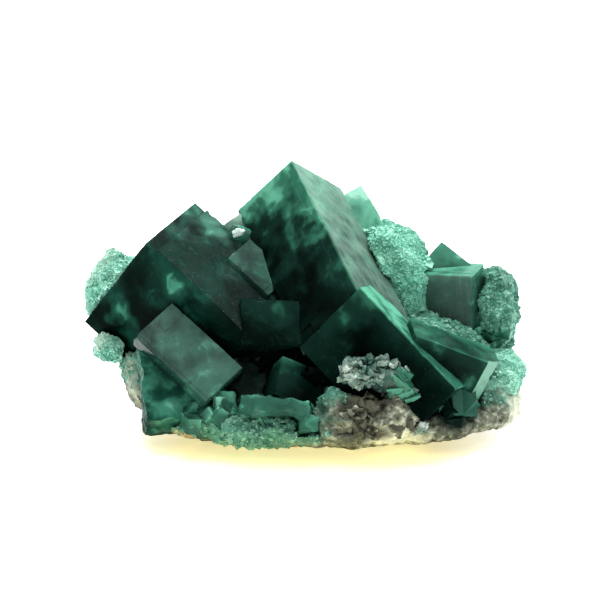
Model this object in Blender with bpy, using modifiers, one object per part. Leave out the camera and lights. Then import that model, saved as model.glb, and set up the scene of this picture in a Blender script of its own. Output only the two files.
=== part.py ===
"""Green fluorite specimen: cubic crystals and sugary druse grown on a lump of pale matrix.

Frame: metres, +Z up, +X to the right, the display side facing -Y. The origin is on the
floor under the middle of the specimen, and the matrix has one flat foot at z = 0.
Lengths below are in millimetres and angles in degrees; MM turns them into metres.
"""
import math
from dataclasses import dataclass

import bmesh
import bpy
from mathutils import Euler, Vector

MM = 0.001

# The middle of the specimen's outline, which the frame's origin lies under
MIDDLE = (1.2, 4.6, 0.0)

# Driving dimensions of the matrix, the rock that everything grows on
MATRIX_CENTRE = (4.5, 2.0, 5.0)
MATRIX_HALF_LENGTH = 35.5
MATRIX_HALF_DEPTH = 22.5
MATRIX_BELLY_DEPTH = 6.4
MATRIX_FRONT_RISE = 4.0
MATRIX_BACK_RISE = 16.0
MATRIX_LEFT_LEAN = 0.45
MATRIX_FULLNESS = 2.6
MATRIX_LUMP = 0.05

# A knob of the same rock stands in front of the right crystal and carries the cleaved one
KNOB_CENTRE = (13.5, -15.0, 7.5)
KNOB_HALF = (10.5, 6.5, 5.5)

# Neighbouring pieces are kept this far apart, and crystal edges carry this small bevel.
# A faceted lump sags between its points, so the space round it is a little larger.
GAP = 0.3
LUMP_GAP = 0.4
EDGE_BEVEL = 0.2

# How finely lumps are divided, and how wide their bumps are
LUMP_DIVISIONS = 3
ROCK_SEGMENTS = 44
ROCK_RINGS = 22
LUMP_BUMP_WIDTH = 2.6
ROCK_BUMP_WIDTH = 5.0
ROCK_BUMP_CLIMB = 12.0

CRYSTAL_ROUGHNESS = 0.22
DRUSE_ROUGHNESS = 0.5
ROCK_ROUGHNESS = 0.85

DARK_GREEN = (0.012, 0.050, 0.036)
DEEP_GREEN = (0.020, 0.085, 0.058)
MID_GREEN = (0.045, 0.150, 0.105)
MINT = (0.130, 0.400, 0.270)
PALE_MINT = (0.260, 0.560, 0.430)
ROCK = (0.330, 0.370, 0.290)


@dataclass(frozen=True)
class Crystal:
    """One cubic crystal, placed by its outermost corner.

    Its own +X, +Y and +Z are the outward normals of the three faces that meet at that
    corner, so the body runs from the corner towards -X, -Y and -Z. A step is a pair of
    corners in those axes: a growth layer that stopped short of an edge. A filled step is
    one that the rock grew into.
    """

    name: str
    corner: tuple
    turn: tuple
    size: tuple
    colour: tuple
    steps: tuple = ()
    filled: tuple = ()


@dataclass(frozen=True)
class Druse:
    """A crust of tiny crystals, given by its middle, half sizes, turn and bumpiness."""

    name: str
    centre: tuple
    half: tuple
    turn: tuple
    colour: tuple
    bump: float = 0.12


# The left crystal and the small block on its upper edge grew parallel to each other
LEFT_TURN = (105, -49, -39)
LEFT_STEP = ((1.0, 1.0, 1.0), (-30.0, -0.8, -2.6))
FRONT_LEFT_STEP = ((-7.2, -14.6, 1.0), (-12.0, -20.0, -0.8))

# The right crystal's lower corner is missing, and rock stands in its place
RIGHT_STEP = ((-8.5, -16.5, 1.0), (-20.0, -30.0, -20.0))

# A crystal earlier in this list keeps its whole shape, and cuts the ones after it
CRYSTALS = (
    Crystal(
        "crystal_right", (10.5, -12.5, 29.5), (68, -46, 2), (15.5, 24.5, 11.0), DARK_GREEN,
        filled=(RIGHT_STEP,),
    ),
    Crystal("crystal_tall", (-1.5, 15.5, 45.0), (55, -31, -137), (15.0, 14.5, 36.0), DARK_GREEN),
    Crystal(
        "crystal_left", (-27.0, -4.5, 35.5), LEFT_TURN, (24.5, 25.0, 18.0), DEEP_GREEN,
        steps=(LEFT_STEP,),
    ),
    Crystal(
        "crystal_front_left", (-16.5, -17.5, 10.0), (-39, 28, -140), (9.5, 17.5, 4.0), MID_GREEN,
        steps=(FRONT_LEFT_STEP,),
    ),
    Crystal("crystal_lower_left", (-29.0, -8.0, 17.0), (-1, -47, 101), (14.5, 12.5, 8.0), DEEP_GREEN),
    Crystal("crystal_right_low", (35.5, -13.0, 15.0), (98, 24, 11), (17.0, 13.5, 7.0), DEEP_GREEN),
    Crystal("crystal_right_foot", (29.0, -14.5, 8.5), (90, 4, 13), (9.0, 6.5, 7.0), DARK_GREEN),
    Crystal("crystal_saddle", (-13.0, 1.5, 30.5), LEFT_TURN, (5.0, 10.0, 8.5), MID_GREEN),
    Crystal("crystal_centre", (-10.5, -6.5, 25.5), (10, -50, 94), (8.5, 11.0, 9.0), DARK_GREEN),
    Crystal("crystal_centre_low", (-3.0, -11.5, 16.5), (36, -39, 76), (8.0, 9.5, 8.0), DARK_GREEN),
    Crystal("crystal_upper_right", (31.0, 3.0, 26.5), (91, -3, -20), (11.0, 13.0, 8.0), MID_GREEN),
    Crystal("crystal_ridge_right", (26.0, 12.0, 30.5), (45, -39, 35), (8.0, 9.5, 8.0), MID_GREEN),
    Crystal("crystal_behind_tall", (11.5, 24.0, 38.0), (59, -23, 25), (10.0, 16.0, 8.0), MINT),
    Crystal("crystal_cleaved", (18.0, -20.5, 16.5), (97, 8, -16), (12.0, 5.5, 5.0), PALE_MINT),
    Crystal("crystal_base_long", (2.5, -20.0, 11.5), (61, 4, -2), (13.5, 3.6, 6.0), MID_GREEN),
    Crystal("crystal_base_block", (3.6, -20.3, 9.0), (55, 3, 8), (4.0, 3.2, 5.0), MID_GREEN),
    Crystal("crystal_base_cube", (-17.0, -19.0, 7.5), (88, 5, 20), (2.7, 3.4, 5.0), MINT),
    Crystal("crystal_base_small", (-11.0, -14.5, 11.5), (58, 1, 3), (4.5, 5.0, 5.0), MID_GREEN),
    Crystal("crystal_base_bead", (23.0, -20.0, 7.5), (60, 9, 10), (2.8, 2.8, 4.0), PALE_MINT),
    Crystal("plate_saddle", (-8.5, 8.5, 33.5), (97, 22, 19), (4.0, 5.0, 1.5), MINT),
    Crystal("sliver_saddle", (-11.0, 16.5, 35.0), (53, -33, 10), (4.6, 6.0, 2.5), PALE_MINT),
    Crystal("crystal_back_left", (-21.0, 26.0, 23.0), (-19, -16, 67), (13.0, 11.0, 14.0), DEEP_GREEN),
    Crystal("crystal_back_middle", (4.0, 32.0, 21.0), (18, 19, 55), (14.0, 13.0, 12.0), DEEP_GREEN),
    Crystal("crystal_back_right", (28.0, 26.0, 17.0), (0, 11, 7), (11.0, 10.0, 12.0), MID_GREEN),
    Crystal("crystal_back_low", (-9.0, 29.0, 11.0), (-10, 31, 54), (9.0, 8.0, 9.0), MID_GREEN),
    Crystal("crystal_back_small", (15.5, 28.5, 12.0), (59, 41, 78), (7.0, 6.0, 7.0), MID_GREEN),
)

DRUSES = (
    Druse("druse_left", (-34.0, 12.0, 20.5), (5.6, 8.5, 7.4), (0, 12, 0), PALE_MINT),
    Druse("druse_under_left", (-34.5, 3.0, 13.0), (3.6, 4.8, 3.4), (0, 0, 0), PALE_MINT),
    Druse("druse_right", (16.8, 12.0, 21.5), (8.8, 9.5, 11.5), (0, 0, 0), PALE_MINT),
    Druse("druse_far_right", (35.6, 11.5, 17.2), (5.2, 9.0, 8.6), (0, 0, 0), PALE_MINT),
    Druse("druse_low_right", (37.0, 0.0, 9.2), (4.4, 8.0, 4.5), (0, 0, 0), PALE_MINT),
    Druse("druse_back", (10.0, 22.0, 24.0), (13.0, 7.0, 8.0), (0, 0, 0), PALE_MINT),
)


def clear_scene():
    """Remove whatever the file opened with."""
    for thing in list(bpy.data.objects):
        bpy.data.objects.remove(thing, do_unlink=True)


def make_collection(name):
    """Link a new collection to the scene."""
    group = bpy.data.collections.new(name)
    bpy.context.scene.collection.children.link(group)
    return group


def make_material(name, colour, roughness):
    """Make a piece's own plain Principled material."""
    material = bpy.data.materials.new(name)
    material.use_nodes = True
    shader = material.node_tree.nodes["Principled BSDF"]
    shader.inputs["Base Color"].default_value = (*colour, 1.0)
    shader.inputs["Roughness"].default_value = roughness
    shader.inputs["Metallic"].default_value = 0.0
    return material


def add_object(name, form, group, location=(0, 0, 0), turn=(0, 0, 0)):
    """Turn a bmesh in millimetres into a placed object in metres."""
    bmesh.ops.scale(form, vec=(MM, MM, MM), verts=form.verts)
    mesh = bpy.data.meshes.new(name)
    form.to_mesh(mesh)
    form.free()
    thing = bpy.data.objects.new(name, mesh)
    thing.location = (Vector(location) - Vector(MIDDLE)) * MM
    thing.rotation_euler = Euler([math.radians(angle) for angle in turn])
    group.objects.link(thing)
    return thing


def box_between(low, high):
    """A closed box between two corners, as a bmesh in millimetres."""
    form = bmesh.new()
    bmesh.ops.create_cube(form, size=1.0)
    low, high = Vector(low), Vector(high)
    bmesh.ops.scale(form, vec=high - low, verts=form.verts)
    bmesh.ops.translate(form, vec=(low + high) / 2, verts=form.verts)
    return form


def add_boolean(thing, other, operation, solver="EXACT"):
    """Cut one object by another, or join them."""
    boolean = thing.modifiers.new(other.name, "BOOLEAN")
    boolean.operation = operation
    boolean.solver = solver
    boolean.object = other


def hide_cutter(cutter):
    """Keep a cutter out of the model."""
    cutter.hide_render = True
    cutter.display_type = "WIRE"
    return cutter


def add_crystal(crystal, parts, cutters):
    """One crystal, cut by its own growth steps and with its edges slightly bevelled."""
    size = Vector(crystal.size)
    form = box_between(-size, (0, 0, 0))
    thing = add_object(crystal.name, form, parts, crystal.corner, crystal.turn)
    thing.data.materials.append(make_material(crystal.name, crystal.colour, CRYSTAL_ROUGHNESS))
    for number, (high, low) in enumerate(crystal.steps + crystal.filled):
        step = add_object(f"step_{crystal.name}_{number}", box_between(low, high), cutters,
                          crystal.corner, crystal.turn)
        add_boolean(thing, hide_cutter(step), "DIFFERENCE")
    bevel = thing.modifiers.new("edge", "BEVEL")
    bevel.width = EDGE_BEVEL * MM
    bevel.segments = 1
    bevel.limit_method = "ANGLE"
    return thing


def add_crystal_cutter(crystal, cutters):
    """The space one crystal takes in its neighbours: the crystal, larger by the gap.

    A filled step is left out of that space, so that the rock reaches into it.
    """
    grow = Vector((GAP, GAP, GAP))
    form = box_between(-Vector(crystal.size) - grow, grow)
    space = add_object(f"space_{crystal.name}", form, cutters, crystal.corner, crystal.turn)
    for number, (high, low) in enumerate(crystal.filled):
        high = Vector(high) - Vector((GAP, GAP, 0))
        left = add_object(f"left_{crystal.name}_{number}", box_between(low, high), cutters,
                          crystal.corner, crystal.turn)
        add_boolean(space, hide_cutter(left), "DIFFERENCE")
    return hide_cutter(space)


def bumps(point, scale):
    """A smooth lumpy value between about -1 and 1 at a point in millimetres."""
    x, y, z = (value / scale for value in point)
    first = math.sin(1.7 * x + 0.4) * math.cos(1.3 * y - 0.9)
    second = math.sin(2.3 * y + 1.1 * z) * math.cos(1.9 * z - 0.7 * x)
    return 0.5 * first + 0.5 * second


def druse_form(druse, grow):
    """A bumpy closed lump, larger by the given margin."""
    form = bmesh.new()
    bmesh.ops.create_icosphere(form, subdivisions=LUMP_DIVISIONS, radius=1.0)
    half = Vector(druse.half)
    for vert in form.verts:
        place = Vector(axis * length for axis, length in zip(vert.co, half))
        swell = 1.0 + druse.bump * bumps(place + Vector(druse.centre), LUMP_BUMP_WIDTH)
        vert.co = place * swell + vert.co.normalized() * grow
    return form


def add_druse(druse, parts):
    """One crust of druse as a bumpy lump."""
    thing = add_object(druse.name, druse_form(druse, 0.0), parts, druse.centre, druse.turn)
    thing.data.materials.append(make_material(druse.name, druse.colour, DRUSE_ROUGHNESS))
    return thing


def add_druse_cutter(druse, cutters):
    """The space one crust takes in its neighbours."""
    form = druse_form(druse, LUMP_GAP)
    return hide_cutter(add_object(f"space_{druse.name}", form, cutters, druse.centre, druse.turn))


def smooth_step(value):
    """Ease from 0 to 1 as the value goes from 0 to 1."""
    value = min(max(value, 0.0), 1.0)
    return value * value * (3 - 2 * value)


def matrix_place(direction):
    """Where a unit direction meets the surface of the rock, in millimetres.

    The plan is a full oval. Below its widest level the rock curves in to the foot, and
    above it rises from a low front ledge to a high back that carries the crystals.
    """
    across, deep, up = direction
    round_length = math.hypot(across, deep)
    full_length = (abs(across) ** MATRIX_FULLNESS + abs(deep) ** MATRIX_FULLNESS) ** (1 / MATRIX_FULLNESS)
    fill = round_length / full_length if full_length > 0 else 1.0
    centre = Vector(MATRIX_CENTRE)
    flat = Vector((across * fill * MATRIX_HALF_LENGTH, deep * fill * MATRIX_HALF_DEPTH, 0))
    lump = 1 + MATRIX_LUMP * bumps(flat + Vector((0, 0, ROCK_BUMP_CLIMB * up)), ROCK_BUMP_WIDTH)
    towards_back = smooth_step((flat.y + MATRIX_HALF_DEPTH) / MATRIX_HALF_DEPTH)
    rise = MATRIX_FRONT_RISE + (MATRIX_BACK_RISE - MATRIX_FRONT_RISE) * towards_back
    height = up * (MATRIX_BELLY_DEPTH if up < 0 else rise)
    lean = -MATRIX_LEFT_LEAN * max(height, 0) * max(-across, 0)
    return centre + flat * lump + Vector((lean, 0, height * lump))


def matrix_form():
    """The rock as a bmesh in millimetres, cut off flat at the floor."""
    form = bmesh.new()
    bmesh.ops.create_uvsphere(form, u_segments=ROCK_SEGMENTS, v_segments=ROCK_RINGS, radius=1.0)
    for vert in form.verts:
        vert.co = matrix_place(vert.co.normalized())
    everything = form.verts[:] + form.edges[:] + form.faces[:]
    cut = bmesh.ops.bisect_plane(
        form, geom=everything, plane_co=(0, 0, 0), plane_no=(0, 0, 1), clear_inner=True,
    )
    rim = [item for item in cut["geom_cut"] if isinstance(item, bmesh.types.BMEdge)]
    bmesh.ops.contextual_create(form, geom=rim)
    bmesh.ops.recalc_face_normals(form, faces=form.faces)
    return form


def add_matrix(parts, cutters):
    """The lump of matrix with its flat foot and its front knob."""
    thing = add_object("matrix", matrix_form(), parts)
    thing.data.materials.append(make_material("matrix", ROCK, ROCK_ROUGHNESS))
    knob_shape = Druse("knob", KNOB_CENTRE, KNOB_HALF, (0, 0, 0), ROCK)
    knob = hide_cutter(add_object("knob", druse_form(knob_shape, 0.0), cutters, KNOB_CENTRE))
    add_boolean(thing, knob, "UNION")
    return thing


def build_specimen():
    """Build every piece, then cut each by the ones that keep their shape before it."""
    clear_scene()
    parts = make_collection("fluorite_specimen")
    cutters = make_collection("cutters")
    spaces = []
    for crystal in CRYSTALS:
        thing = add_crystal(crystal, parts, cutters)
        for space in spaces:
            add_boolean(thing, space, "DIFFERENCE")
        spaces.append(add_crystal_cutter(crystal, cutters))
    for druse in DRUSES:
        thing = add_druse(druse, parts)
        for space in spaces:
            add_boolean(thing, space, "DIFFERENCE")
        spaces.append(add_druse_cutter(druse, cutters))
    rock = add_matrix(parts, cutters)
    for space in spaces:
        add_boolean(rock, space, "DIFFERENCE", "MANIFOLD")


build_specimen()
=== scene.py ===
"""Looks for a green fluorite specimen.

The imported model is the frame: each crystal, crust and the rock is rebuilt in its own place
with growth steps, chipped edges, sugary faces and stone grain, and lit in a plain studio.
"""

import logging
import math
from dataclasses import dataclass
from enum import Enum

import bpy
import numpy as np
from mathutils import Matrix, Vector
from mathutils.kdtree import KDTree


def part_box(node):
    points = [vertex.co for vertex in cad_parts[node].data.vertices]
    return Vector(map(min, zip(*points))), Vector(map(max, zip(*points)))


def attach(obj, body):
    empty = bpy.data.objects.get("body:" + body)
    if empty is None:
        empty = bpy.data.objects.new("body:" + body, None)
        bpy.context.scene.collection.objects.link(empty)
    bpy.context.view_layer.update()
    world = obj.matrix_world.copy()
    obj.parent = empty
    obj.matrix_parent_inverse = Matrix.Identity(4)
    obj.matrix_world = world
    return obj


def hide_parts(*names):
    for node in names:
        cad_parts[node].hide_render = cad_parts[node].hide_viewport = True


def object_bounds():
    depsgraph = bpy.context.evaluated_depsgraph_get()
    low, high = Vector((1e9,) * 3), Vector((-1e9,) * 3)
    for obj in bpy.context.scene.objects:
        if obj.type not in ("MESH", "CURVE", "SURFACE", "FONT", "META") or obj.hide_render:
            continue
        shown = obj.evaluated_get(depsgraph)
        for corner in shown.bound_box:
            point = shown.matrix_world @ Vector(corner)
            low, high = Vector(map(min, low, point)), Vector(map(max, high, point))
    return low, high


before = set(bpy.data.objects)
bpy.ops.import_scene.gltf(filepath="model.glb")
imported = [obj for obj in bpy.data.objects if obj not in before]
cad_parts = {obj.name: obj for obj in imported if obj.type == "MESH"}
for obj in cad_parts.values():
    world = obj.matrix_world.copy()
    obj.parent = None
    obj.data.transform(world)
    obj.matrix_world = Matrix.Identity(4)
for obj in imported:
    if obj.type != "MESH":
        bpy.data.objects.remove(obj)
CAD_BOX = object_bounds()

MM = 0.001

# Sizes of the patterns in the fluorite, from its broad clouds to its dust
CLOUD_GRAIN = 11.0 * MM
WISP_GRAIN = 0.0042
MOTTLE_GRAIN = 3.5 * MM
FLECK_GRAIN = 1.7 * MM
FINE_GRAIN = 0.8 * MM
STRIA_GRAIN = 0.7 * MM
DUST_GRAIN = 0.00026
FLUORITE_IOR = 1.434

# Places shrink to this share along a crystal's longest axis, which draws its striations out
STRIA_STRETCH = 0.09

# Sizes of the patterns in the druse and in the rock
DRUSE_PATCH, DRUSE_CLUMP, DRUSE_GRAIN = 5.5 * MM, 1.9 * MM, 0.5 * MM
ROCK_PATCH, ROCK_GRAIN, ROCK_SPECK = 6.0 * MM, 1.1 * MM, 0.00045
ROCK_IOR = 1.5

# Wear of the crystals: rubbed edges, chips bitten out of them, and broken faces
RUB_LEAST, RUB_MORE, RUB_GRAIN = 0.04 * MM, 0.09 * MM, 0.9 * MM
CHIP_GRAIN, CHIP_FADE, CHIP_REACH = 1.9 * MM, 0.55 * MM, 0.9 * MM
CRAG_GRAIN = 2.2 * MM

# Unevenness of the light inside a crystal, and of the border of its spots
SHADE_GRAIN = 4.0 * MM
SPOT_GRAIN = 2.6 * MM

# Mesh lines: the half width of a step's riser, and the rim beside an edge
RISER = 0.02 * MM
RIM = 0.10 * MM

# The least height of a crystal's points above the floor
FLOOR_GAP = 0.02 * MM

# A point this near to a face takes the light of that face
ON_FACE = 0.3 * MM

# The rise of a small crystal's underside, and its slope where it overhangs the foot
UNDERSIDE, UNDERSIDE_SLOPE = 0.05 * MM, 0.33

# Edges sharper than these angles, in degrees, stay crisp
CRYSTAL_CREASE = 24.0
DRUSE_CREASE = 25.0
ROCK_CREASE = 50.0

# Daylight enters the crystals most from above and behind, and least from the front and below
SKY_PULL = np.array((0.10, 0.42, 0.52))
SKY_BASE = 0.12

LOG = logging.getLogger("fluorite")

Colour = tuple[float, float, float]
Triple = tuple[float, float, float]
Span = tuple[float, float]
Socket = bpy.types.NodeSocket


# ---------------------------------------------------------------------------
# Noise and mesh helpers
# ---------------------------------------------------------------------------


def lattice_value(cell: np.ndarray, seed: int) -> np.ndarray:
    """Give each whole-numbered lattice point its own value.

    Args:
        cell: Lattice points, one row of three whole numbers each.
        seed: Chooses one pattern among many.

    Returns:
        One value from 0 to 1 for each row.
    """
    mixed = cell[:, 0] * 127.1 + cell[:, 1] * 311.7 + cell[:, 2] * 74.7 + seed * 19.19
    wave = np.sin(mixed) * 43758.5453
    return wave - np.floor(wave)


def value_noise(points: np.ndarray, grain: float, seed: int) -> np.ndarray:
    """Smooth noise over space.

    Args:
        points: Places in metres, one row each.
        grain: Distance in metres between independent values.
        seed: Chooses one pattern among many.

    Returns:
        One value from -1 to 1 for each place.
    """
    scaled = points / grain
    cell = np.floor(scaled)
    part = scaled - cell
    ease = part * part * (3 - 2 * part)
    total = np.zeros(len(points))
    for dx in (0, 1):
        for dy in (0, 1):
            for dz in (0, 1):
                step = np.array((dx, dy, dz))
                weight = np.prod(np.where(step == 1, ease, 1 - ease), axis=1)
                total += weight * lattice_value(cell + step, seed)
    return total * 2 - 1


def rough_noise(points: np.ndarray, grain: float, seed: int, octaves: int = 3) -> np.ndarray:
    """Layer smooth noise at halving grains.

    Args:
        points: Places in metres, one row each.
        grain: The coarsest grain in metres.
        seed: Chooses one pattern among many.
        octaves: How many layers to add.

    Returns:
        One value of about -1 to 1 for each place.
    """
    total = np.zeros(len(points))
    weight = 1.0
    for octave in range(octaves):
        total += weight * value_noise(points, grain / 2**octave, seed + octave)
        weight *= 0.5
    return total / (2 - 2 * weight)


def new_object(name: str, points: np.ndarray, faces: list | np.ndarray) -> bpy.types.Object:
    """Make a mesh object from points and faces.

    Args:
        name: The piece's name.
        points: Vertex places in metres.
        faces: Vertex numbers of each face.

    Returns:
        The new object, linked to the scene.
    """
    mesh = bpy.data.meshes.new(name)
    corners = faces.tolist() if isinstance(faces, np.ndarray) else faces
    mesh.from_pydata(points.tolist(), [], corners)
    mesh.update()
    piece = bpy.data.objects.new(name, mesh)
    bpy.context.scene.collection.objects.link(piece)
    return piece


def mesh_points(mesh: bpy.types.Mesh) -> np.ndarray:
    """Read a mesh's vertex places.

    Args:
        mesh: The mesh to read.

    Returns:
        The places in metres, one row each.
    """
    flat = np.empty(len(mesh.vertices) * 3, np.float32)
    mesh.vertices.foreach_get("co", flat)
    return flat.reshape(-1, 3).astype(float)


def mesh_normals(mesh: bpy.types.Mesh) -> np.ndarray:
    """Read a mesh's vertex normals.

    Args:
        mesh: The mesh to read.

    Returns:
        The unit normals, one row each.
    """
    flat = np.empty(len(mesh.vertices) * 3, np.float32)
    mesh.vertex_normals.foreach_get("vector", flat)
    return flat.reshape(-1, 3).astype(float)


def set_points(mesh: bpy.types.Mesh, points: np.ndarray) -> None:
    """Move a mesh's vertices to new places.

    Args:
        mesh: The mesh to change.
        points: New places in metres, one row each.
    """
    mesh.vertices.foreach_set("co", points.astype(np.float32).ravel())
    mesh.update()


def set_layer(mesh: bpy.types.Mesh, name: str, values: np.ndarray, domain: str = "POINT") -> None:
    """Store one number, or one vector, for each point or face of a mesh.

    Args:
        mesh: The mesh to write to.
        name: The layer's name, as materials read it.
        values: One number or three for each element.
        domain: POINT or FACE.
    """
    vector = values.ndim == 2
    layer = mesh.attributes.new(name, "FLOAT_VECTOR" if vector else "FLOAT", domain)
    layer.data.foreach_set("vector" if vector else "value", values.astype(np.float32).ravel())


def shade(piece: bpy.types.Object, degrees: float) -> None:
    """Shade a piece smooth, with edges sharper than an angle left crisp.

    Args:
        piece: The piece to shade.
        degrees: The least angle of a crisp edge.
    """
    piece.data.shade_smooth()
    piece.data.set_sharp_from_angle(angle=math.radians(degrees))


def claim(piece: bpy.types.Object, node: str) -> None:
    """Let a piece stand for a node of the frame.

    Args:
        piece: The finished piece.
        node: The node of the frame that it replaces.
    """
    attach(piece, "root")
    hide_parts(node)
    LOG.info("%s: %d faces", piece.name, len(piece.data.polygons))


# ---------------------------------------------------------------------------
# Materials
# ---------------------------------------------------------------------------


class Graph:
    """A short way to write one material's node graph."""

    def __init__(self, name: str) -> None:
        """Start a material that holds one Principled shader.

        Args:
            name: The material's name.
        """
        self.material = bpy.data.materials.new(name)
        self.material.use_nodes = True
        self.tree = self.material.node_tree
        self.shader = self.tree.nodes["Principled BSDF"]
        self.place = self.node("ShaderNodeTexCoord").outputs["Object"]

    def node(self, kind: str, **settings: object) -> bpy.types.Node:
        """Add a node and set its properties by name.

        Args:
            kind: The node's type.
            settings: Its properties, by name.

        Returns:
            The new node.
        """
        made = self.tree.nodes.new(kind)
        for key, value in settings.items():
            setattr(made, key, value)
        return made

    def feed(self, socket: Socket, value: object) -> None:
        """Link a socket to a value, or set it when the value is plain.

        Args:
            socket: The input to fill.
            value: An output socket, a number or a colour.
        """
        if isinstance(value, Socket):
            self.tree.links.new(value, socket)
        elif isinstance(value, tuple) and socket.type == "RGBA":
            socket.default_value = (*value, 1.0)
        else:
            socket.default_value = value

    def layer(self, name: str, output: str = "Fac") -> Socket:
        """Read a stored layer of the mesh."""
        return self.node("ShaderNodeAttribute", attribute_name=name).outputs[output]

    def sum(self, operation: str, first: object, second: object, clamp: bool = True) -> Socket:
        """Work out one number from two.

        Args:
            operation: A Math node's operation.
            first: A socket or a number.
            second: A socket or a number.
            clamp: Whether the result of ADD or SUBTRACT is kept between 0 and 1.

        Returns:
            The result's socket.
        """
        made = self.node("ShaderNodeMath", operation=operation)
        made.use_clamp = clamp and operation in ("ADD", "SUBTRACT")
        self.feed(made.inputs[0], first)
        self.feed(made.inputs[1], second)
        return made.outputs[0]

    def times(self, first: object, second: object) -> Socket:
        """Multiply two sockets or numbers."""
        return self.sum("MULTIPLY", first, second)

    def plus(self, first: object, second: object) -> Socket:
        """Add two sockets or numbers, kept between 0 and 1."""
        return self.sum("ADD", first, second)

    def noise(
        self, grain: float, detail: float = 4.0, twist: float = 0.0, where: object = None,
    ) -> Socket:
        """Read noise of a given grain.

        Args:
            grain: The pattern's size in metres.
            detail: How many finer layers it carries.
            twist: How much it swirls.
            where: Coordinates to read it at, the object's own by default.

        Returns:
            A socket of about 0.2 to 0.8.
        """
        made = self.node("ShaderNodeTexNoise")
        self.feed(made.inputs["Vector"], where or self.place)
        made.inputs["Scale"].default_value = 1 / grain
        made.inputs["Detail"].default_value = detail
        made.inputs["Distortion"].default_value = twist
        return made.outputs["Fac"]

    def between(self, value: object, low: float, high: float) -> Socket:
        """Ease from 0 to 1 as a value goes from low to high.

        Args:
            value: The socket to read.
            low: Where the result starts to leave 0.
            high: Where it reaches 1.

        Returns:
            The eased socket.
        """
        made = self.node("ShaderNodeMapRange", interpolation_type="SMOOTHSTEP")
        self.feed(made.inputs["Value"], value)
        made.inputs["From Min"].default_value = low
        made.inputs["From Max"].default_value = high
        return made.outputs["Result"]

    def spread(self, value: object, low: float, high: float) -> Socket:
        """Stretch a value of 0 to 1 over another span.

        Args:
            value: The socket to read.
            low: The result at 0.
            high: The result at 1.

        Returns:
            The stretched socket.
        """
        made = self.node("ShaderNodeMapRange")
        self.feed(made.inputs["Value"], value)
        made.inputs["To Min"].default_value = low
        made.inputs["To Max"].default_value = high
        return made.outputs["Result"]

    def mix(self, share: object, first: object, second: object) -> Socket:
        """Blend two colours.

        Args:
            share: How much of the second to take, 0 to 1.
            first: A colour or a socket.
            second: A colour or a socket.

        Returns:
            The blended colour's socket.
        """
        made = self.node("ShaderNodeMix", data_type="RGBA")
        self.feed(made.inputs["Factor"], share)
        self.feed(made.inputs[6], first)
        self.feed(made.inputs[7], second)
        return made.outputs[2]

    def ramp(self, value: object, stops: tuple[tuple[float, Colour], ...]) -> Socket:
        """Turn a number into a colour along several stops.

        Args:
            value: The socket to read.
            stops: A place from 0 to 1 and its colour, rising.

        Returns:
            The colour's socket.
        """
        made = self.node("ShaderNodeValToRGB")
        line = made.color_ramp
        line.interpolation = "EASE"
        while len(line.elements) < len(stops):
            line.elements.new(0.5)
        for element, (place, colour) in zip(line.elements, stops):
            element.position = place
            element.color = (*colour, 1.0)
        self.feed(made.inputs[0], value)
        return made.outputs[0]

    def bump(
        self, height: object, depth: float, strength: float, under: object = None,
    ) -> Socket:
        """Turn a height into a normal.

        Args:
            height: The height's socket, 0 to 1.
            depth: Its full height in metres.
            strength: How strongly it tells.
            under: A normal to build on.

        Returns:
            The normal's socket.
        """
        made = self.node("ShaderNodeBump")
        made.inputs["Strength"].default_value = strength
        made.inputs["Distance"].default_value = depth
        self.feed(made.inputs["Height"], height)
        if under is not None:
            self.feed(made.inputs["Normal"], under)
        return made.outputs["Normal"]

    def finish(self, **inputs: object) -> bpy.types.Material:
        """Fill the shader's inputs.

        Args:
            inputs: Values by input name, with spaces written as underscores.

        Returns:
            The finished material.
        """
        for key, value in inputs.items():
            self.feed(self.shader.inputs[key.replace("_", " ")], value)
        return self.material


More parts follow.
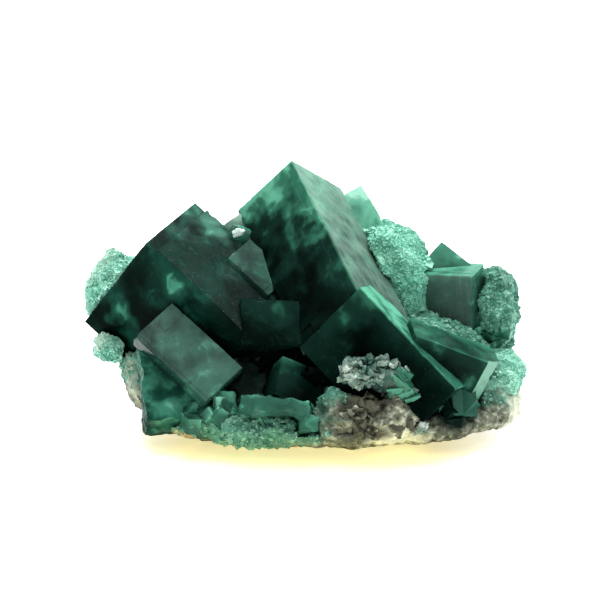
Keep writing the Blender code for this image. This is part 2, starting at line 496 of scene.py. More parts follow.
@dataclass(frozen=True)
class FluoriteFinish:
    """The look of one kind of fluorite, from its dark heart to its thin lit edges."""

    heart: Colour
    body: Colour
    glow: Colour
    pale: Colour
    # Grey-green of frosted faces, which also stands for their painted sheen
    frost_sheen: Colour
    slot: str
    cloudiness: float = 0.6
    wispiness: float = 0.8
    frost_sheen_share: float = 0.6
    glass_roughness: float = 0.13
    satin_roughness: float = 0.45
    gloss: float = 0.35

    def depth(self, graph: Graph) -> Socket:
        """Work out how far down the light comes from: 0 in the heart and 1 at a thin edge.

        Args:
            graph: The material being written.

        Returns:
            The depth's socket.
        """
        broad = graph.noise(CLOUD_GRAIN, 2.5, 0.5)
        wisps = graph.noise(WISP_GRAIN, 5.0, 1.1)
        flecks = graph.noise(FLECK_GRAIN, 5.0, 1.6)
        swell = graph.sum("SUBTRACT", broad, 0.50, clamp=False)
        swell = graph.times(swell, 0.9 * self.cloudiness)
        uneven = graph.spread(wisps, 1 - self.wispiness, 1 + self.wispiness)
        depth = graph.plus(graph.times(graph.layer("lit"), uneven), swell)
        cloud = graph.times(graph.between(wisps, 0.53, 0.74), graph.between(broad, 0.40, 0.60))
        depth = graph.plus(depth, graph.times(cloud, 0.34 * self.cloudiness))
        fleck = graph.times(graph.between(flecks, 0.60, 0.76), graph.between(wisps, 0.45, 0.62))
        return graph.plus(depth, graph.times(fleck, 0.30 * self.cloudiness))

    def material(self, name: str) -> bpy.types.Material:
        """Write the material.

        Args:
            name: The material's name.

        Returns:
            A Principled material with clouds, lit edges, frost with a painted sheen, and fine
            striations.
        """
        graph = Graph(name)
        satin = graph.layer("satin")
        fine = graph.noise(FINE_GRAIN, 4.0)
        dust = graph.noise(DUST_GRAIN, 2.0)
        mottle = graph.noise(MOTTLE_GRAIN, 5.0, 0.5)
        tone = graph.ramp(self.depth(graph), (
            (0.0, self.heart), (0.30, self.body), (0.66, self.glow), (1.0, self.pale)))
        lines = graph.noise(STRIA_GRAIN, 4.0, 0.3, graph.layer("streaks", "Vector"))
        stripes = graph.times(graph.layer("striped"), graph.between(lines, 0.40, 0.66))
        # Satin faces go toward their grey-green: partly their real frosted tone, partly a painted
        # sheen that grows with the painted light in the lit layer
        frost = graph.times(satin, graph.spread(mottle, -0.1, 1.5))
        frost = graph.times(frost, graph.spread(graph.layer("lit"), 0.35, 1.90))
        frost = graph.times(frost, graph.spread(fine, 0.55, 1.35))
        tone = graph.mix(graph.times(frost, self.frost_sheen_share), tone, self.frost_sheen)
        tone = graph.mix(graph.times(stripes, 0.20), tone, self.frost_sheen)
        speck = graph.times(graph.between(dust, 0.66, 0.80), graph.spread(satin, 0.12, 0.5))
        tone = graph.mix(speck, tone, self.pale)
        rough = graph.spread(satin, self.glass_roughness, self.satin_roughness)
        worn = graph.times(graph.between(fine, 0.45, 0.75), 0.15)
        rough = graph.plus(rough, worn)
        relief = graph.bump(mottle, 0.0004, 0.25)
        relief = graph.bump(fine, 0.00006, 0.35, relief)
        relief = graph.bump(stripes, 0.00005, 0.5, relief)
        graph.shader.inputs["Specular IOR Level"].default_value = self.gloss
        return graph.finish(Base_Color=tone, Roughness=rough, Normal=relief, IOR=FLUORITE_IOR)


@dataclass(frozen=True)
class DruseFinish:
    """The look of a crust of tiny crystals."""

    deep: Colour
    main: Colour
    pale: Colour
    # The pale tone painted as light on the lit outer rim of the crust
    rim: Colour
    slot: str = "sugar_druse"

    def material(self, name: str) -> bpy.types.Material:
        """Write the material.

        Args:
            name: The material's name.

        Returns:
            A Principled material whose tone changes from crystal to crystal, painted paler on the
            lit rim.
        """
        graph = Graph(name)
        tint = graph.layer("tint")
        patch = graph.noise(DRUSE_PATCH, 4.0, 0.8)
        clump = graph.noise(DRUSE_CLUMP, 4.0, 0.4)
        grain = graph.noise(DRUSE_GRAIN, 3.0)
        value = graph.times(patch, 0.62)
        value = graph.plus(value, graph.times(clump, 0.30))
        value = graph.plus(value, graph.times(tint, 0.18))
        tone = graph.ramp(value, ((0.30, self.deep), (0.52, self.main), (0.74, self.pale)))
        sparkle = graph.times(graph.between(grain, 0.5, 0.75), 0.4)
        tone = graph.mix(sparkle, tone, self.pale)
        # Painted light: the outer, upper side of each lump turns pale
        tone = graph.mix(graph.layer("rim"), tone, self.rim)
        relief = graph.bump(grain, 0.00010, 0.7)
        rough = graph.spread(grain, 0.15, 0.6)
        graph.shader.inputs["Specular IOR Level"].default_value = 0.4
        return graph.finish(Base_Color=tone, Roughness=rough, Normal=relief, IOR=FLUORITE_IOR)


@dataclass(frozen=True)
class RockFinish:
    """The look of the granular matrix rock, of the green film that grew on it, and of the painted
    shade in its hollows.
    """

    grain_light: Colour
    grain_mid: Colour
    grain_dark: Colour
    cream: Colour
    # Brown that is the rock's own in the middle and a painted shadow at the right foot
    brown: Colour
    rust: Colour
    crust: Colour
    # The near-black green painted as shade in the hollows under and between the crystals
    deep: Colour
    slot: str = "matrix_rock"

    def material(self, name: str) -> bpy.types.Material:
        """Write the material.

        Args:
            name: The material's name.

        Returns:
            A rough Principled material with grains, stains, a green film and painted shade in the
            hollows.
        """
        graph = Graph(name)
        patch = graph.noise(ROCK_PATCH, 5.0, 0.7)
        grain = graph.noise(ROCK_GRAIN, 5.0)
        speck = graph.noise(ROCK_SPECK, 3.0)
        tone = graph.ramp(grain, (
            (0.30, self.grain_dark), (0.50, self.grain_mid), (0.68, self.grain_light)))
        cream = graph.times(graph.layer("cream"), graph.spread(grain, 0.45, 1.45))
        tone = graph.mix(cream, tone, self.cream)
        # The crust layer is the real green film; the deep layer is painted shade, a near-black
        # green in the hollows under and between the crystals
        for layer, colour in (("crust", self.crust), ("deep", self.deep)):
            share = graph.times(graph.layer(layer), graph.spread(grain, 0.65, 1.45))
            darker = tuple(0.55 * part for part in colour)
            film = graph.mix(graph.between(patch, 0.35, 0.65), darker, colour)
            tone = graph.mix(share, tone, film)
        rust = graph.times(graph.layer("rust"), graph.spread(grain, 0.4, 1.5))
        tone = graph.mix(rust, tone, self.rust)
        brown = graph.times(graph.layer("brown"), graph.spread(grain, 0.6, 1.6))
        tone = graph.mix(brown, tone, self.brown)
        sparkle = graph.times(graph.between(speck, 0.64, 0.74), 0.7)
        # Pale grains are left out where the painted shade lies
        sparkle = graph.times(sparkle, graph.spread(graph.layer("deep"), 1.0, 0.0))
        tone = graph.mix(sparkle, tone, self.grain_light)
        relief = graph.bump(grain, 0.0005, 0.8)
        relief = graph.bump(speck, 0.00018, 0.7, relief)
        rough = graph.spread(speck, 0.35, 0.95)
        graph.shader.inputs["Specular IOR Level"].default_value = 0.08
        return graph.finish(Base_Color=tone, Roughness=rough, Normal=relief, IOR=ROCK_IOR)


class Fluorite(Enum):
    """The kinds of fluorite on the specimen."""

    DARK = FluoriteFinish(
        heart=(0.0004, 0.0018, 0.0014), body=(0.0050, 0.0240, 0.0170), glow=(0.030, 0.145, 0.092),
        pale=(0.120, 0.420, 0.280), frost_sheen=(0.185, 0.310, 0.250), slot="dark_fluorite",
        cloudiness=0.36, wispiness=0.4, gloss=0.02,
    )
    DEEP = FluoriteFinish(
        heart=(0.0005, 0.0045, 0.0032), body=(0.0065, 0.0480, 0.0320), glow=(0.045, 0.210, 0.140),
        pale=(0.190, 0.520, 0.380), frost_sheen=(0.085, 0.130, 0.118), slot="deep_fluorite",
        cloudiness=0.75, gloss=0.015,
    )
    MID = FluoriteFinish(
        heart=(0.0050, 0.0240, 0.0180), body=(0.0260, 0.1050, 0.0720), glow=(0.070, 0.270, 0.180),
        pale=(0.240, 0.620, 0.450), frost_sheen=(0.150, 0.215, 0.200), slot="mid_fluorite",
        cloudiness=0.9, gloss=0.15,
    )
    MINT = FluoriteFinish(
        heart=(0.0300, 0.1450, 0.0980), body=(0.0850, 0.3200, 0.2200), glow=(0.180, 0.540, 0.380),
        pale=(0.450, 0.880, 0.700), frost_sheen=(0.330, 0.520, 0.430), slot="mint_fluorite",
        cloudiness=0.9,
    )
    PALE = FluoriteFinish(
        heart=(0.0800, 0.2000, 0.1500), body=(0.2000, 0.3700, 0.2900), glow=(0.380, 0.600, 0.490),
        pale=(0.700, 0.860, 0.780), frost_sheen=(0.600, 0.720, 0.660), slot="pale_fluorite",
        cloudiness=1.0,
    )
    GRANULAR = FluoriteFinish(
        heart=(0.0080, 0.0400, 0.0290), body=(0.0500, 0.1350, 0.1000), glow=(0.200, 0.290, 0.240),
        pale=(0.620, 0.740, 0.660), frost_sheen=(0.400, 0.480, 0.430), slot="pale_fluorite",
        cloudiness=1.4, glass_roughness=0.3,
    )
    EARTHY = FluoriteFinish(
        heart=(0.0250, 0.0250, 0.0170), body=(0.0950, 0.1000, 0.0740), glow=(0.230, 0.250, 0.190),
        pale=(0.620, 0.660, 0.540), frost_sheen=(0.380, 0.400, 0.320), slot="matrix_rock",
        cloudiness=1.6, glass_roughness=0.4, gloss=0.1,
    )


# ---------------------------------------------------------------------------
# Crystals
# ---------------------------------------------------------------------------


@dataclass
class CubeFrame:
    """The place of one cubic crystal: its middle, its three axes and its half sizes."""

    middle: np.ndarray
    axes: np.ndarray
    half: np.ndarray

    @classmethod
    def of_node(cls, node: str) -> "CubeFrame":
        """Read a crystal's place from its node of the frame.

        Its axes are the three right-angled face directions with the most area, since cuts
        by other crystals leave most of its own faces.

        Args:
            node: The node's name.

        Returns:
            The place, with axes in rows.
        """
        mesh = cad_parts[node].data
        normals = np.array([face.normal for face in mesh.polygons], float)
        areas = np.array([face.area for face in mesh.polygons], float)
        alike = np.abs(normals @ normals.T) > 0.9998
        weight = alike @ areas
        order = np.argsort(-weight)
        best, best_area = None, -1.0
        for first in order[:40]:
            square = np.abs(normals @ normals[first]) < 0.004
            if not square.any():
                continue
            second = int(np.argmax(np.where(square, weight, -1)))
            third = np.cross(normals[first], normals[second])
            area = weight[first] + weight[second] + areas[np.abs(normals @ third) > 0.9998].sum()
            if area > best_area + 1e-12:
                best, best_area = (normals[first], normals[second], third), area
        axes = np.array([axis / np.linalg.norm(axis) for axis in best])
        local = mesh_points(mesh) @ axes.T
        low, high = local.min(0), local.max(0)
        return cls((low + high) / 2 @ axes, axes, (high - low) / 2)

    def side(self, direction: Triple) -> tuple[int, int]:
        """Find the face that looks most nearly in a direction.

        Args:
            direction: A direction in the row's frame.

        Returns:
            The axis number and 1 or -1 for its end.
        """
        along = self.axes @ np.array(direction, float)
        axis = int(np.argmax(np.abs(along)))
        return axis, 1 if along[axis] > 0 else -1


@dataclass(frozen=True)
class Notch:
    """A patch of a face where growth stopped short, or a bevel along one of its edges.

    The patch reaches in by `width` from the edge that `face` shares with `edge`. It runs
    the whole length of that edge or, when `start` is given, over `span`: two distances in
    millimetres from the end nearest to `start`. A sloped one is deepest at the edge.
    """

    face: Triple
    edge: Triple
    width: float
    depth: float
    start: Triple | None = None
    span: Span = (0.0, 1.0)
    sloped: bool = False
    satin: float = 0.0
    lit: float = 0.0


@dataclass(frozen=True)
class Spot:
    """A place inside a crystal where more light comes through; sizes in millimetres."""

    centre: Triple
    radius: float
    amount: float

    def light(self, points: np.ndarray, ragged: np.ndarray) -> np.ndarray:
        """Give the change in light at each point.

        Args:
            points: Points in metres.
            ragged: Noise that breaks up the border.

        Returns:
            The change, nothing outside the spot.
        """
        away = np.linalg.norm(points / MM - np.array(self.centre), axis=1) / self.radius
        share = np.clip(1.0 - away + 0.75 * ragged, 0, 1)
        return self.amount * share * share * (3 - 2 * share)


@dataclass
class Patch:
    """A notch or a growth layer in a crystal's own axes."""

    axis: int
    end: int
    low: np.ndarray
    high: np.ndarray
    depth: float
    slope: tuple[int, int, float] | None = None

    def holds(self, points: np.ndarray) -> np.ndarray:
        """Say which points lie over the patch.

        Args:
            points: Local points.

        Returns:
            True for each point over the patch.
        """
        inside = np.ones(len(points), bool)
        for axis in range(3):
            if axis != self.axis:
                inside &= (points[:, axis] > self.low[axis]) & (points[:, axis] < self.high[axis])
        return inside

    def sink(self, points: np.ndarray, half: np.ndarray) -> np.ndarray:
        """Give the depth of the patch under each point.

        Args:
            points: Local points.
            half: The crystal's half sizes.

        Returns:
            The depth, nothing outside the patch.
        """
        depth = np.full(len(points), self.depth)
        if self.slope is not None:
            axis, end, width = self.slope
            away = half[axis] - end * points[:, axis]
            depth *= np.clip(1 - away / width, 0, 1)
        return np.where(self.holds(points), depth, 0.0)


@dataclass
class CrystalPiece:
    """One cubic crystal with growth steps, chipped edges and its finish.

    Directions name its faces: `satin` ones are frosted, `striped` ones are striated and
    `bright` ones let more light through. Light fades over `reach` from the other faces, as
    `edge_light` and, deeper in, as `deep_light`, and `inner` adds to it everywhere. The
    faces of a `broken` crystal are torn.
    """

    node: str
    finish: Fluorite
    seed: int
    satin: tuple[Triple, ...] = ()
    striped: tuple[Triple, ...] = ()
    notches: tuple[Notch, ...] = ()
    bright: tuple[tuple[Triple, float], ...] = ()
    spacing: float = 0.45 * MM
    plates: int = 2
    plate_depth: float = 0.07 * MM
    chip_depth: float = 0.5 * MM
    reach: float = 1.5 * MM
    edge_light: float = 0.9
    deep_light: float = 0.35
    satin_share: float = 1.0
    inner: float = 0.0
    spots: tuple[Spot, ...] = ()
    broken: float = 0.0
    place: CubeFrame | None = None

    def __post_init__(self) -> None:
        """Read the crystal's place from the frame, unless it has its own."""
        if self.place is None:
            self.place = CubeFrame.of_node(self.node)
        self.random = np.random.default_rng(self.seed)

    def face_plates(self) -> list[Patch]:
        """Choose the thin growth layers that stop short on each face.

        Returns:
            The strips at the faces' edges that a layer leaves bare.
        """
        strips = []
        half = self.place.half
        for axis in range(3):
            for end in (-1, 1):
                for _ in range(self.plates):
                    low, high = -half * 2, half * 2
                    across = (axis + self.random.integers(1, 3)) % 3
                    share = self.random.uniform(0.02, 0.5) ** 1.5
                    if self.random.random() < 0.5:
                        low[across] = half[across] * (1 - 2 * share)
                    else:
                        high[across] = -half[across] * (1 - 2 * share)
                    thick = self.plate_depth * self.random.uniform(0.5, 1.4)
                    strips.append(Patch(axis, end, low, high, thick))
        return strips

    def notch_patches(self) -> list[Patch]:
        """Turn the named notches into patches in the crystal's own axes.

        Returns:
            One patch for each notch, in the same order.
        """
        patches = []
        half = self.place.half
        for notch in self.notches:
            axis, end = self.place.side(notch.face)
            across, side = self.place.side(notch.edge)
            along = 3 - axis - across
            low, high = -half * 2, half * 2
            if side > 0:
                low[across] = half[across] - notch.width
            else:
                high[across] = -half[across] + notch.width
            if notch.start is not None:
                near, far = (half[along] - reach * MM for reach in notch.span)
                if self.place.axes[along] @ np.array(notch.start) > 0:
                    low[along], high[along] = far, near + 0.1 * MM * (notch.span[0] == 0)
                else:
                    low[along], high[along] = -near - 0.1 * MM * (notch.span[0] == 0), -far
            depth = min(notch.depth, 2 * half[axis] - 0.6 * MM)
            slope = (across, side, notch.width) if notch.sloped else None
            patches.append(Patch(axis, end, low, high, depth, slope))
        return patches

    def grid_lines(self, patches: list[Patch]) -> list[np.ndarray]:
        """Place the grid lines of each axis, with a close pair at every step.

        Args:
            patches: The layers and notches whose edges need lines.

        Returns:
            Three rising arrays of places along the axes.
        """
        lines = []
        for axis in range(3):
            half = self.place.half[axis]
            count = max(int(round(2 * half / self.spacing)), 3)
            marks = list(np.linspace(-half, half, count + 1)[1:-1])
            for patch in patches:
                for edge in (patch.low[axis], patch.high[axis]):
                    if abs(edge) < half - 0.2 * MM:
                        marks = [mark for mark in marks if abs(mark - edge) > RIM]
                        marks += [edge - RISER, edge + RISER]
            marks = [mark for mark in marks if abs(mark) < half - 1.6 * RIM]
            lines.append(np.array(sorted([-half, -half + RIM, *marks, half - RIM, half])))
        return lines

    def surface(self, lines: list[np.ndarray]) -> tuple[np.ndarray, np.ndarray, np.ndarray]:
        """Wrap the grid lines into the closed surface of a box.

        Args:
            lines: Places of the grid lines along each axis.

        Returns:
            Local points, faces turned outward, and each face's side number.
        """
        counts = [len(line) for line in lines]
        index = -np.ones(counts, int)
        inner = np.ones(counts, bool)
        inner[0], inner[-1] = False, False
        inner[:, 0], inner[:, -1] = False, False
        inner[:, :, 0], inner[:, :, -1] = False, False
        shell = np.argwhere(~inner)
        index[tuple(shell.T)] = np.arange(len(shell))
        points = np.stack([lines[axis][shell[:, axis]] for axis in range(3)], axis=1)
        faces, sides = [], []
        for axis in range(3):
            first, second = (axis + 1) % 3, (axis + 2) % 3
            for end in (0, 1):
                picked = np.moveaxis(index, axis, 0)[-1 if end else 0]
                if first > second:
                    picked = picked.T
                low, right = picked[:-1, :-1], picked[1:, :-1]
                top, far = picked[:-1, 1:], picked[1:, 1:]
                quads = np.stack([low, right, far, top], axis=-1).reshape(-1, 4)
                faces.append(quads if end else quads[:, ::-1])
                sides.append(np.full(len(quads), axis * 2 + end))
        return points, np.concatenate(faces), np.concatenate(sides)

    def relief(self, points: np.ndarray, patches: list[Patch]) -> np.ndarray:
        """Sink the faces to their growth steps and chip the edges.

        Args:
            points: Local points on the full box.
            patches: The growth steps, notches and bevels.

        Returns:
            The moved local points.
        """
        half = self.place.half
        moved = points.copy()
        for axis in range(3):
            for end in (-1, 1):
                sink = np.zeros(len(points))
                for patch in patches:
                    if patch.axis == axis and patch.end == end:
                        sink += patch.sink(points, half)
                level = half[axis] - np.minimum(sink, 2 * half[axis] - 0.5 * MM)
                moved[:, axis] = end * np.minimum(end * moved[:, axis], level)
        gap = half - np.abs(points)
        near = np.sort(gap, axis=1)
        world = self.to_world(points)
        rubbed = np.clip(value_noise(world, RUB_GRAIN, self.seed + 3) + 0.2, 0, 1)
        rub = RUB_LEAST + RUB_MORE * rubbed
        bite = rough_noise(world, CHIP_GRAIN, self.seed + 7)
        bite = np.clip(bite - 0.26, 0, 1) * 2.2 * self.chip_depth
        fade = np.exp(-((near[:, 1] / CHIP_FADE) ** 2))
        pull = bite * fade + np.where(near[:, 1] < 1e-7, rub, 0.0)
        toward = np.where(gap < CHIP_REACH, -np.sign(points), 0.0)
        moved += toward * pull[:, None] * 0.7
        if self.broken > 0:
            seeds = range(self.seed + 17, self.seed + 20)
            crags = np.stack([rough_noise(world, CRAG_GRAIN, seed, 4) for seed in seeds], axis=1)
            moved *= 1 - 0.5 * self.broken / half.mean()
            moved += self.broken * crags
        return moved

    def to_world(self, local: np.ndarray) -> np.ndarray:
        """Carry local points to the row's frame.

        Args:
            local: Points in the crystal's own axes.

        Returns:
            The same points in the row's frame.
        """
        return local @ self.place.axes + self.place.middle

    def light(self, local: np.ndarray, world: np.ndarray) -> np.ndarray:
        """Work out how much light comes through to each point.

        Light enters by the faces that look up and back, and fades on its way in.

        Args:
            local: The points in the crystal's own axes.
            world: The same points in the row's frame.

        Returns:
            A value of 0 to 1 for each point.
        """
        total = np.zeros(len(local))
        for axis in range(3):
            for end in (-1, 1):
                normal = end * self.place.axes[axis]
                entry = float(np.clip(normal @ SKY_PULL + SKY_BASE, 0, 1))
                away = np.clip(self.place.half[axis] - end * local[:, axis], 0, None)
                own = away < 1e-6
                shine = self.edge_light * np.exp(-away / self.reach)
                shine += self.deep_light * np.exp(-away / (4.5 * self.reach))
                total += entry * np.where(own, 0.0, shine)
        for direction, amount in self.bright:
            axis, end = self.place.side(direction)
            away = self.place.half[axis] - end * local[:, axis]
            total += np.where(away < ON_FACE, amount, 0.0)
        total *= 0.8 + 0.45 * rough_noise(world, SHADE_GRAIN, self.seed + 11)
        ragged = rough_noise(world, SPOT_GRAIN, self.seed + 13)
        for spot in self.spots:
            total += spot.light(world, ragged)
        return np.clip(total + self.inner, 0, 1)

    def frost(self, middles: np.ndarray, sides: np.ndarray, patches: list[Patch]) -> np.ndarray:
        """Choose the satin faces.

        Args:
            middles: The middle of each mesh face, in the crystal's own axes.
            sides: The side number of each mesh face.
            patches: The patches of the notches, in order.

        Returns:
            A value of 0 to 1 for each mesh face.
        """
        chosen = [axis * 2 + (end > 0) for axis, end in map(self.place.side, self.satin)]
        satin = np.isin(sides, chosen) * self.satin_share
        for notch, patch in zip(self.notches, patches):
            on_side = sides == patch.axis * 2 + (patch.end > 0)
            satin = np.where(on_side & patch.holds(middles) & (notch.satin > 0), notch.satin, satin)
        return satin

    def form(self) -> "CrystalForm":
        """Work out the crystal's points, faces and layers.

        Returns:
            The form, ready to be dressed.
        """
        strips, patches = self.face_plates(), self.notch_patches()
        local, faces, sides = self.surface(self.grid_lines(strips + patches))
        world = self.to_world(self.relief(local, strips + patches))
        world[:, 2] = np.maximum(world[:, 2], FLOOR_GAP)
        if np.linalg.det(self.place.axes) < 0:
            faces = faces[:, ::-1]
        lit = self.light(local, self.to_world(local))
        streaks = np.ones(3)
        streaks[int(np.argmax(self.place.half))] = STRIA_STRETCH
        for notch, patch in zip(self.notches, patches):
            near = patch.end * local[:, patch.axis] > self.place.half[patch.axis] - ON_FACE
            lit = np.where(near & patch.holds(local), lit + notch.lit, lit)
        satin = self.frost(local[faces].mean(axis=1), sides, patches)
        chosen = [axis * 2 + (end > 0) for axis, end in map(self.place.side, self.striped)]
        striped = np.isin(sides, chosen).astype(float)
        return CrystalForm(world, faces, local * streaks, np.clip(lit, 0, 1), satin, striped)

    def build(self) -> bpy.types.Object:
        """Make the crystal and dress it.

        Returns:
            The finished piece.
        """
        return self.form().dress(f"{self.node}_grown", self.node, self.finish)


@dataclass
class CrystalForm:
    """The points, faces and layers of one or more crystals."""

    points: np.ndarray
    faces: np.ndarray
    grown: np.ndarray
    lit: np.ndarray
    satin: np.ndarray
    striped: np.ndarray

    @classmethod
    def joined(cls, forms: list["CrystalForm"]) -> "CrystalForm":
        """Put several crystals into one form.

        Args:
            forms: The crystals to join.

        Returns:
            One form that holds them all.
        """
        starts = np.cumsum([0] + [len(form.points) for form in forms[:-1]])
        faces = np.concatenate([form.faces + start for form, start in zip(forms, starts)])
        stacked = {name: np.concatenate([getattr(form, name) for form in forms])
                   for name in ("points", "grown", "lit", "satin", "striped")}
        return cls(faces=faces, **stacked)

    def dress(self, name: str, node: str, finish: Fluorite) -> bpy.types.Object:
        """Make the piece and give it its finish.

        Args:
            name: The piece's name.
            node: The node it stands for.
            finish: The kind of fluorite.

        Returns:
            The finished piece.
        """
        piece = new_object(name, self.points, self.faces)
        mesh = piece.data
        set_layer(mesh, "lit", self.lit)
        set_layer(mesh, "streaks", self.grown)
        set_layer(mesh, "satin", self.satin, "FACE")
        set_layer(mesh, "striped", self.striped, "FACE")
        mesh.materials.append(finish.value.material(name))
        shade(piece, CRYSTAL_CREASE)
        claim(piece, node)
        return piece


@dataclass
class CrystalCluster:
    """A group of small crystals grown together without an order; sizes in millimetres."""

    name: str
    node: str
    finish: Fluorite
    seed: int
    centre: Triple
    spread: Triple
    count: int
    size: Span
    stretch: float = 1.6
    inner: float = 0.0
    edge_light: float = 0.7
    broken: float = 0.0
    undercut: float = 15.0

    def build(self) -> bpy.types.Object:
        """Make the group and dress it.

        Returns:
            The finished piece.
        """
        random = np.random.default_rng(self.seed)
        forms = []
        turns = random_turns(random, self.count)
        for number in range(self.count):
            away = random.normal(size=3)
            away *= random.random() ** 0.33 / np.linalg.norm(away)
            middle = (np.array(self.centre) + away * np.array(self.spread)) * MM
            half = random.uniform(*self.size, 3) * MM / 2
            half[random.integers(3)] *= random.uniform(1.0, self.stretch)
            place = CubeFrame(middle, turns[number], half)
            crystal = CrystalPiece(
                self.node, self.finish, self.seed * 31 + number, place=place, plates=1,
                plate_depth=0.05 * MM, chip_depth=0.35 * MM, spacing=0.5 * MM, inner=self.inner,
                edge_light=self.edge_light, deep_light=self.edge_light * 0.3,
                broken=self.broken * MM)
            form = crystal.form()
            overhang = np.clip(-form.points[:, 1] - self.undercut * MM, 0, None)
            least = UNDERSIDE + UNDERSIDE_SLOPE * overhang
            form.points[:, 2] = np.maximum(form.points[:, 2], least)
            forms.append(form)
        return CrystalForm.joined(forms).dress(self.name, self.node, self.finish)


# ---------------------------------------------------------------------------
# Druse and rock
# ---------------------------------------------------------------------------


def random_turns(random: np.random.Generator, count: int) -> np.ndarray:
    """Draw evenly spread turns.

    Args:
        random: The source of chance.
        count: How many turns to draw.

    Returns:
        One 3 by 3 turn for each.
    """
    quat = random.normal(size=(count, 4))
    w, x, y, z = (quat / np.linalg.norm(quat, axis=1, keepdims=True)).T
    rows = [
        [1 - 2 * (y * y + z * z), 2 * (x * y - z * w), 2 * (x * z + y * w)],
        [2 * (x * y + z * w), 1 - 2 * (x * x + z * z), 2 * (y * z - x * w)],
        [2 * (x * z - y * w), 2 * (y * z + x * w), 1 - 2 * (x * x + y * y)],
    ]
    return np.moveaxis(np.array(rows), 2, 0)


def scatter(
    mesh: bpy.types.Mesh, random: np.random.Generator, count: int,
) -> tuple[np.ndarray, np.ndarray]:
    """Pick places spread evenly over a mesh.

    Args:
        mesh: The mesh to cover.
        random: The source of chance.
        count: How many places to pick.

    Returns:
        The places and the outward directions there.
    """
    mesh.calc_loop_triangles()
    points = mesh_points(mesh)
    corners = np.array([tri.vertices[:] for tri in mesh.loop_triangles])
    a, b, c = (points[corners[:, k]] for k in range(3))
    cross = np.cross(b - a, c - a)
    area = np.linalg.norm(cross, axis=1)
    chosen = random.choice(len(corners), count, p=area / area.sum())
    u, v = random.random((2, count))
    flip = u + v > 1
    u, v = np.where(flip, 1 - u, u), np.where(flip, 1 - v, v)
    place = a[chosen] + u[:, None] * (b - a)[chosen] + v[:, None] * (c - a)[chosen]
    return place, cross[chosen] / area[chosen][:, None]


CUBE_CORNERS = np.array([(x, y, z) for x in (-1, 1) for y in (-1, 1) for z in (-1, 1)], float)
CUBE_FACES = np.array([
    (0, 1, 3, 2), (4, 6, 7, 5), (0, 4, 5, 1), (2, 3, 7, 6), (0, 2, 6, 4), (1, 5, 7, 3)])


def cube_cloud(
    places: np.ndarray, turns: np.ndarray, halves: np.ndarray,
) -> tuple[np.ndarray, np.ndarray]:
    """Make many small closed boxes at once.

    Args:
        places: The middle of each box.
        turns: The turn of each box.
        halves: The three half sizes of each box.

    Returns:
        All points and all faces.
    """
    local = CUBE_CORNERS[None] * halves[:, None, :]
    points = np.einsum("nij,nkj->nki", turns, local) + places[:, None, :]
    faces = CUBE_FACES[None] + 8 * np.arange(len(places))[:, None, None]
    return points.reshape(-1, 3), faces.reshape(-1, 4)


def remeshed(node: str, voxel: float) -> bpy.types.Mesh:
    """Copy a node's mesh and remesh it evenly.

    Args:
        node: The node of the frame.
        voxel: The remesh's grain in metres.

    Returns:
        The new mesh.
    """
    work = bpy.data.objects.new(f"{node}_work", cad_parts[node].data.copy())
    bpy.context.scene.collection.objects.link(work)
    remesh = work.modifiers.new("even", "REMESH")
    remesh.mode = "VOXEL"
    remesh.voxel_size = voxel
    finished = work.evaluated_get(bpy.context.evaluated_depsgraph_get())
    done = bpy.data.meshes.new_from_object(finished)
    bpy.data.objects.remove(work, do_unlink=True)
    done.materials.clear()
    return done


@dataclass
class Sugar:
    """Tiny crystals strewn over a surface, `density` of them to the square millimetre."""

    seed: int
    density: float = 14.0
    small: float = 0.09 * MM
    large: float = 0.34 * MM
    bold_share: float = 0.006
    bold: float = 0.75 * MM

    def strew(
        self, places: np.ndarray, outward: np.ndarray,
    ) -> tuple[np.ndarray, np.ndarray, np.ndarray]:
        """Make one tiny crystal at each place.

        Args:
            places: Points on the surface.
            outward: The outward directions there.

        Returns:
            Points, faces, and a tint for each crystal.
        """
        random = np.random.default_rng(self.seed)
        count = len(places)
        sizes = self.small + (self.large - self.small) * random.random(count) ** 2.2
        bold = random.random(count) < self.bold_share
        sizes = np.where(bold, self.bold * random.uniform(0.5, 1.0, count), sizes)
        halves = sizes[:, None] * random.uniform(0.7, 1.3, (count, 3))
        middles = places - outward * (sizes * random.uniform(0.2, 0.7, count))[:, None]
        points, faces = cube_cloud(middles, random_turns(random, count), halves)
        return points, faces, random.random(count)


def area_of(mesh: bpy.types.Mesh) -> float:
    """Measure a mesh.

    Args:
        mesh: The mesh to measure.

    Returns:
        Its area in square millimetres.
    """
    return sum(face.area for face in mesh.polygons) / MM**2


